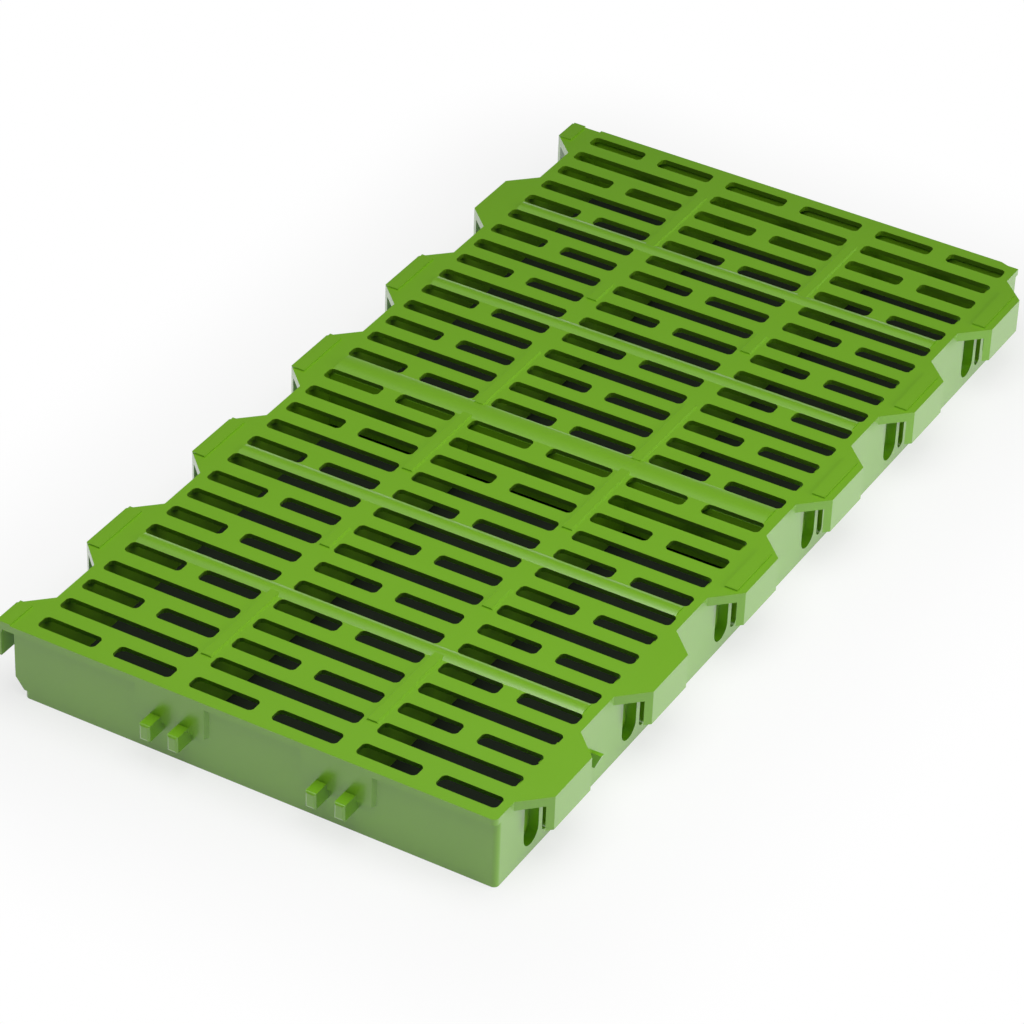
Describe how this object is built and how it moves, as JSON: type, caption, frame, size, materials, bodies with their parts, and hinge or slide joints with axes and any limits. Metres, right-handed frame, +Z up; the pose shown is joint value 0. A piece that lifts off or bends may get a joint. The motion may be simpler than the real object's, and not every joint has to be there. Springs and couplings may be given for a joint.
{
  "type": "sow floor slat",
  "caption": "Moulded plastic floor slat for sow pens: slotted deck on a skirt, interlocking side tabs, front pegs and raised grip relief.",
  "frame": {"origin": "below the middle of the slot pattern, in the plane of the bottom rim that rests on the support beams", "axes": "+X across the slat towards the side with six tabs, +Y along the slat from the pegs to the ledge, +Z up through the deck"},
  "size_m": [0.315, 0.6135, 0.0462],
  "materials": {
    "green_plastic": "satin to gloss, as moulded"
  },
  "bodies": {
    "root": {"slat_panel": "green_plastic"}
  },
  "joints": []
}
